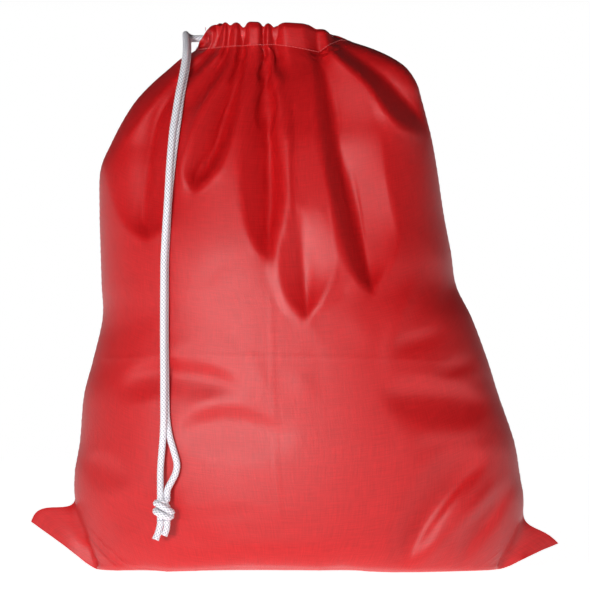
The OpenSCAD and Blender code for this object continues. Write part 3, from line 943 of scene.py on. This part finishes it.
def sewn_edges(shape, inside):
    """Draws in and puckers the side seams, and lifts parts of the lower edge off the floor."""
    along = np.linspace(0, BODY_H, len(shape))[:, None]
    beat = np.sin(2 * math.pi * along / PUCKER + 1.3 * np.sin(along * 61))
    near = np.exp(-((inside / 0.012) ** 2)) * smooth(along / 0.1) * smooth((BODY_H - along) / 0.02)
    draw = near * (SEAM_DRAW + PUCKER_DRAW * beat * smooth(inside / 0.003))
    shape[..., 0] += np.where(np.arange(shape.shape[1]) < shape.shape[1] / 2, draw, -draw)
    edge = np.interp(shape[..., 0], *EDGE_LIFT.T)
    shape[..., 2] += edge * smooth(-shape[..., 1] / 0.07) * smooth((0.05 - shape[..., 2]) / 0.05)


def folded_panel(side, relief):
    """One panel from its bottom seam to the stitch line, with its folds."""
    shape, inside = filled_body(side)
    below = np.linspace(BODY_H, 0, ROWS + 1)[:, None]
    sag(side, shape, 1 - smooth(below / 0.06))
    shape[..., 1] -= lifted(side, shape, relief, inside)
    sewn_edges(shape, inside)
    shape[..., 1] *= side
    return shape


def around_cord(y, x, z, outer):
    """Depths of the hem's ply, kept clear of the cord that runs inside it."""
    across = np.clip((x - MOUTH_X) / RING_A, -1, 1)
    ring = RING_B * np.sqrt(1 - across**2)
    half = np.sqrt(np.clip(HEM_CLEAR**2 - (z - RUN_Z) ** 2, 0, None))
    beside = (half > 0) & (np.abs(across) < np.where(outer, OUTER_SPAN, INNER_SPAN))
    clear = np.where(outer, np.minimum(y, -ring - half), np.maximum(y, -ring + half))
    return np.where(beside, clear, y)


def hem_of(side, body, relief):
    """The hem's rows, from the stitch line over the top edge and down inside."""
    columns = np.linspace(0, 1, COLUMNS + 1)
    rows = outlines(HEM_LEVELS, HEM_ROWS, columns)
    turn = np.linspace(0, 1, HEM_ROWS)[:, None]
    sag(side, rows, 1 - smooth(turn / 0.3))
    lift = lifted(side, rows, relief, np.minimum(columns, 1 - columns)[None, :])
    rows[..., 1] -= lift * (1 - 0.75 * smooth((turn - 0.4) / 0.25))
    rows[..., 1] = around_cord(rows[..., 1], rows[..., 0], rows[..., 2], turn < 0.5)
    rise = np.interp(rows[..., 0], *RIM_RISE.T) + 0.4 * lift + 0.35 * np.minimum(lift, 0)
    rows[..., 2] += rise * np.sin(math.pi * turn) ** 1.2
    rows[..., 1] *= side
    shift = body[-1] - rows[0]
    return rows + shift * (1 - smooth(turn / 0.15))[..., None]


SLIT_HALF_H = 0.0076  # the cord's exit in the hem's left seam
SLIT_HALF_W = 0.0074
SLIT_REACH = 0.024  # the depth at which the hem no longer parts
SLIT_X = -0.06  # the exit lies to the left of this
LIP_R = 0.0064  # the lips' distance from the centre of the cord's bend
LIP_X = -0.0825  # the bend's lips lie to the left of this
PRESS_X, PRESS_Z = (-0.15, -0.07), 0.03  # where the strands hang, and above what height
PRESS_R = 0.0034
PRESS_SOFT = 0.005


def open_exit(sheets):
    """Parts the hem's left seam where the cord comes out."""
    outer = sheets[:, ROWS : ROWS + HEM_ROWS // 2 + 6]
    side = np.array([-1.0, 1.0])[:, None, None]
    depth = np.abs(outer[..., 1])
    off = outer[..., 2] - RUN_Z
    part = SLIT_HALF_W * np.sqrt(np.clip(1 - (off / SLIT_HALF_H) ** 2, 0, 1))
    parted = side * (depth + part * (1 - depth / SLIT_REACH))
    close = (depth < SLIT_REACH) & (outer[..., 0] < SLIT_X)
    outer[..., 1] = np.where(close, parted, outer[..., 1])
    # the lips of the slit bulge round the cord's bend
    tall = np.sqrt(np.clip(LIP_R**2 - off**2, 0, None))
    cover = np.interp(outer[..., 0], EXIT_BEND[:, 0], -EXIT_BEND[:, 1]) + tall
    beside = (tall > 0) & (outer[..., 0] < LIP_X)
    outer[..., 1] = np.where(beside, side * np.maximum(np.abs(outer[..., 1]), cover), outer[..., 1])


def press_under(sheet, paths):
    """Presses the front cloth in where the cord's strands lie on it."""
    x, z = sheet[..., 0], sheet[..., 2]
    near = (x > PRESS_X[0]) & (x < PRESS_X[1]) & (z > PRESS_Z)
    points = sheet[near]
    floor = np.full(len(points), -np.inf)
    for path in paths:
        for start in range(0, len(path), 40):
            some = path[start : start + 40 : 2]
            gap = np.hypot(points[:, None, 0] - some[:, 0], points[:, None, 2] - some[:, 2])
            round_part = np.sqrt(np.clip(PRESS_R**2 - gap**2, 0, None))
            limit = some[:, 1] + round_part - np.clip(gap - PRESS_R, 0, None) ** 2 / PRESS_SOFT
            floor = np.maximum(floor, limit.max(axis=1))
    points[:, 1] = np.maximum(points[:, 1], floor)
    sheet[near] = points


EASE_PASSES = 14
EASE_X, EASE_X_FADE = 0.196, 0.012  # only the cloth outside this is smoothed
EASE_Z, EASE_Z_FADE = 0.078, 0.02  # and only below this


def ease_ears(sheets):
    """Smooths the cloth of the two lower corners where it turns from the body into the ears."""
    s = sheets[:, :ROWS]
    for _ in range(EASE_PASSES):
        sides = np.concatenate([s[:, :, :1], s[:, :, :-1]], axis=2)
        sides = sides + np.concatenate([s[:, :, 1:], s[:, :, -1:]], axis=2)
        above = np.concatenate([s[:, 1:], s[:, -1:]], axis=1)
        below = np.concatenate([s[:, :1], s[:, :-1]], axis=1)
        target = (sides + above + below) / 4
        for edge in (0, -1):
            target[:, :, edge] = (above[:, :, edge] + below[:, :, edge]) / 2
        target[:, 0] = s[:, 0]
        share = smooth((np.abs(s[..., 0]) - EASE_X) / EASE_X_FADE)
        share = share * smooth((EASE_Z - s[..., 2]) / EASE_Z_FADE)
        s[:] = s + (target - s) * share[..., None]
        gap = np.clip(2 * CLOTH_T - (s[1, ..., 1] - s[0, ..., 1]), 0, None) / 2
        gap[:, 0] = gap[:, -1] = gap[0] = 0
        s[0, ..., 1] -= gap * share[0]
        s[1, ..., 1] += gap * share[1]


def make_cloth(paths):
    """Both panels' grids: [panel, row, column, xyz]."""
    tables = ((FRONT_LINES, FRONT_FOLDS, PRESSED), (BACK_LINES, BACK_FOLDS, PRESSED[1:]))
    relief = []
    for panel, (lines, folds, pressed) in enumerate(tables):
        relief.append(line_relief(lines) + fold_relief(folds + crumples(panel), pressed))
    body = np.stack([folded_panel(side, own) for side, own in zip((1, -1), relief)])
    body = settle(body)
    hem = np.stack([hem_of(side, *own) for side, *own in zip((1, -1), body, relief)])
    sheets = np.concatenate([body, hem[:, 1:]], axis=1)
    ease_ears(sheets)
    press_under(sheets[0], paths)
    open_exit(sheets)
    return sheets


def grid_faces(rows, columns, flip):
    faces = []
    for row in range(rows):
        for a in range(row * (columns + 1), row * (columns + 1) + columns):
            quad = (a, a + 1, a + columns + 2, a + columns + 1)
            faces.append(quad[::-1] if flip else quad)
    return faces


def panel_object(name, grid, flip, material):
    rows, columns = grid.shape[0] - 1, grid.shape[1] - 1
    obj = new_object(name, grid.reshape(-1, 3), grid_faces(rows, columns, flip), material)
    flat = np.zeros(grid.shape)
    flat[..., 0] = np.linspace(0, PANEL_W, columns + 1)
    heights = [np.linspace(0, BODY_H, ROWS + 1), BODY_H + np.linspace(0, 2 * HEM_H, HEM_ROWS)[1:]]
    flat[..., 1] = np.concatenate(heights)[:, None]
    store_values(obj, "pattern", "FLOAT_VECTOR", "vector", flat)
    return obj


# ---- sewing ----

STITCH = 0.0026  # length of a stitch
STITCH_GAP = 0.0007
STITCH_LIFT = 0.0005  # how far a stitch's middle stands off the cloth
THREAD_R = 0.00038
TACK_R, TACK_PITCH = 0.00026, 0.00042
TACK_ROWS = 7
EXIT_HALF = 0.0072  # half the height of the exit slot
SEAM_W = 0.009
SIDE_SEAM, BOTTOM_SEAM = (0.12, 0.9), (0.2, 0.83)  # the allowances' parts of the panel's edges


def thin_thread(path, radius, sides=6):
    verts = tube_points(path, radius[:, None], sides).reshape(-1, 3)
    last = (len(path) - 1) * sides
    faces = []
    for ring in range(0, last, sides):
        for k in range(sides):
            a, b = ring + k, ring + (k + 1) % sides
            faces.append((a, b, b + sides, a + sides))
    faces.append(tuple(range(sides))[::-1])
    faces.append(tuple(last + k for k in range(sides)))
    return verts, faces


def stitch_row(line, outward_by):
    """Separate stitches along a line of points, lying on the cloth."""
    along = arc_lengths(line)
    bow = np.sin(np.linspace(0, math.pi, 6))
    parts = []
    for i in range(int(along[-1] / (STITCH + STITCH_GAP))):
        at = i * (STITCH + STITCH_GAP) + np.linspace(0, STITCH, 6)
        lift = STITCH_LIFT * (0.2 + 0.8 * bow)
        path = values_at(at, along, line) + values_at(at, along, outward_by) * lift[:, None]
        parts.append(thin_thread(path, THREAD_R * (0.55 + 0.45 * np.sqrt(bow))))
    return joined(parts)


def outward(line):
    """Level directions straight out of the filled outline, along a row of the front panel."""
    along = np.gradient(line, axis=0)
    out = np.stack([along[:, 1], -along[:, 0], 0 * along[:, 0]], axis=-1)
    return out / (np.linalg.norm(out, axis=-1, keepdims=True) + 1e-12)


def make_hem_stitches(side, sheet, half, material):
    line = sheet[ROWS]
    verts, faces = stitch_row(line[2:-2], side * outward(line)[2:-2])
    stitches = new_object(half + "_hem_stitches", verts, faces, material)
    open_with_mouth(stitches)
    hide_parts("casing_thread_" + half)
    return stitches


def make_bartacks(sheet, material):
    """Two dense bars of stitches, above and below the cord exit."""
    seam = sheet[ROWS : ROWS + HEM_ROWS // 2, 0]
    y = np.linspace(-0.003, 0.003, 7)
    parts = []
    for up in (-1, 1):
        for k in range(TACK_ROWS):
            z = RUN_Z + up * (EXIT_HALF + 0.0009 + TACK_PITCH * k)
            x = np.interp(z, seam[:, 2], seam[:, 0]) - 0.0006 + 12 * y**2
            path = np.stack([x, y, z + 0 * y + 0.0002 * np.sin(2.4 * k)], 1)
            parts.append(thin_thread(path, np.full(7, TACK_R)))
    tacks = new_object("exit_bartack_stitches", *joined(parts), material)
    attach(tacks, "sack")
    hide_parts("exit_bartacks")
    return tacks


def seam_strip(name, line, inwards, node, material):
    """A seam allowance: the panels' two raw edges, pressed together inside the sack."""
    count = len(line)
    wave = 0.0006 * np.sin(np.arange(count) * 0.9) + 0.0004 * np.sin(np.arange(count) * 0.37)
    verts = []
    for point, w in zip(line, wave):
        for depth in (CLOTH_T, SEAM_W):
            for y in (-0.0005, 0.0005):
                shift = np.array([0, y + w * depth / SEAM_W, 0])
                verts.append(point + np.array(inwards) * depth + shift)
    faces = []
    for a in range(0, 4 * count - 4, 4):
        for p, q in ((0, 1), (1, 3), (3, 2), (2, 0)):
            faces.append((a + p, a + q, a + 4 + q, a + 4 + p))
    faces += [(0, 2, 3, 1), (4 * count - 4, 4 * count - 3, 4 * count - 1, 4 * count - 2)]
    strip = new_object(name, verts, faces, material)
    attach(strip, "sack")
    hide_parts(node)
    return strip


def make_seams(sheet, material):
    rows = slice(*(int(part * ROWS) for part in SIDE_SEAM))
    columns = slice(*(int(part * COLUMNS) for part in BOTTOM_SEAM))
    return [seam_strip(name, line, inwards, node, material) for name, line, inwards, node in (
        ("left_seam_allowance", sheet[rows, 0], (1, 0, 0), "left_side_seam"),
        ("right_seam_allowance", sheet[rows, -1], (-1, 0, 0), "right_side_seam"),
        ("bottom_seam_allowance", sheet[0, columns], (0, 0, 1), "bottom_seam"),
    )]


make_camera()
cloth = sack_cloth()
thread = sewing_thread()
paths = make_cords(white_cord())
make_studio()

sheets = make_cloth(paths)
seams = make_seams(sheets[0], cloth)
tacks = make_bartacks(sheets[0], thread)
for side, sheet, half, nodes in (
    (1, sheets[0], "front", ("front_panel", "casing_front", "left_corner_ear", "casing_left_end")),
    (-1, sheets[1], "back", ("back_panel", "casing_back", "right_corner_ear", "casing_right_end")),
):
    piece = panel_object(half + "_cloth", sheet, side == -1, cloth)
    stitches = make_hem_stitches(side, sheet, half, thread)
    open_with_mouth(piece)
    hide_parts(*nodes)
